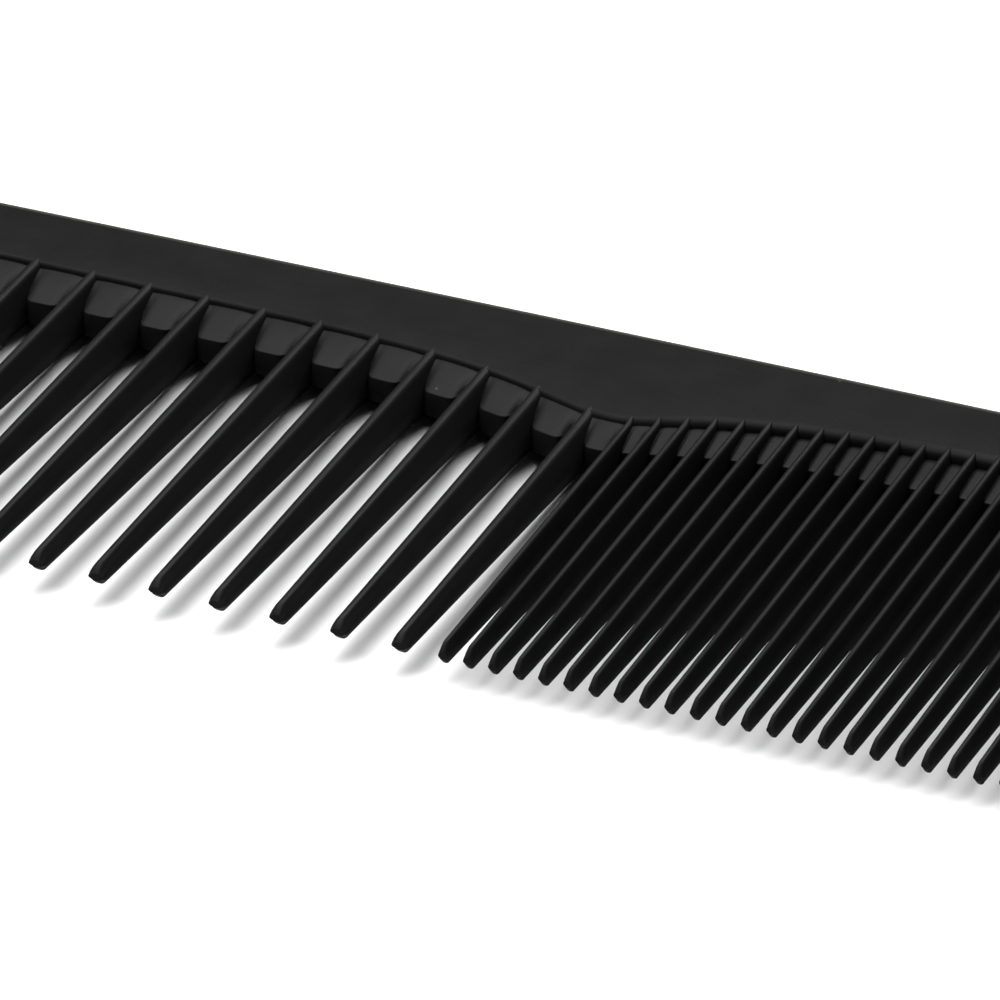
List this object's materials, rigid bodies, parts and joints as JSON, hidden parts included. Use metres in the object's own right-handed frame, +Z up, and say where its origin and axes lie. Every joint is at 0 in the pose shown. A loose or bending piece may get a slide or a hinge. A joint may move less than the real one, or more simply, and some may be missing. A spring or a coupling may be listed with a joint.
{
  "type": "hair comb",
  "caption": "Flat black plastic dressing comb with widely spaced coarse teeth on one half, fine teeth on the other, a swelling in the spine between them and a guard tooth at each end.",
  "frame": {"origin": "middle of the comb's box: midway along its length, midway between the tooth tips and the top of the back, at mid thickness", "axes": "+X along the comb towards the fine teeth, +Y from the tooth tips to the back edge, +Z up out of the broad face"},
  "size_m": [0.178, 0.031, 0.0028],
  "materials": {
    "spine_plastic": "satin black, faintly scuffed",
    "tooth_plastic": "smooth moulded black"
  },
  "bodies": {
    "root": {"spine": "spine_plastic", "coarse_root_web": "tooth_plastic", "fine_root_web": "tooth_plastic", "coarse_end_guard": "spine_plastic", "fine_end_guard": "spine_plastic", "coarse_tooth_01": "tooth_plastic", "coarse_tooth_02": "tooth_plastic", "coarse_tooth_03": "tooth_plastic", "coarse_tooth_04": "tooth_plastic", "coarse_tooth_05": "tooth_plastic", "coarse_tooth_06": "tooth_plastic", "coarse_tooth_07": "tooth_plastic", "coarse_tooth_08": "tooth_plastic", "coarse_tooth_09": "tooth_plastic", "coarse_tooth_10": "tooth_plastic", "coarse_tooth_11": "tooth_plastic", "coarse_tooth_12": "tooth_plastic", "coarse_tooth_13": "tooth_plastic", "coarse_tooth_14": "tooth_plastic", "coarse_tooth_15": "tooth_plastic", "coarse_tooth_16": "tooth_plastic", "coarse_tooth_17": "tooth_plastic", "coarse_tooth_18": "tooth_plastic", "coarse_tooth_19": "tooth_plastic", "coarse_tooth_20": "tooth_plastic", "coarse_tooth_21": "tooth_plastic", "coarse_tooth_22": "tooth_plastic", "coarse_tooth_23": "tooth_plastic", "coarse_tooth_24": "tooth_plastic", "coarse_tooth_25": "tooth_plastic", "coarse_tooth_26": "tooth_plastic", "fine_teeth_bank_01": "tooth_plastic", "fine_teeth_bank_02": "tooth_plastic", "fine_teeth_bank_03": "tooth_plastic", "fine_teeth_bank_04": "tooth_plastic", "fine_teeth_bank_05": "tooth_plastic", "fine_teeth_bank_06": "tooth_plastic", "fine_teeth_bank_07": "tooth_plastic", "fine_teeth_bank_08": "tooth_plastic", "fine_teeth_bank_09": "tooth_plastic", "fine_teeth_bank_10": "tooth_plastic", "fine_teeth_bank_11": "tooth_plastic", "fine_teeth_bank_12": "tooth_plastic", "fine_teeth_bank_13": "tooth_plastic", "fine_teeth_bank_14": "tooth_plastic", "fine_teeth_bank_15": "tooth_plastic", "fine_teeth_bank_16": "tooth_plastic", "fine_teeth_bank_17": "tooth_plastic", "fine_teeth_bank_18": "tooth_plastic", "fine_teeth_bank_19": "tooth_plastic", "fine_teeth_bank_20": "tooth_plastic", "fine_teeth_bank_21": "tooth_plastic", "fine_teeth_bank_22": "tooth_plastic"}
  },
  "joints": []
}
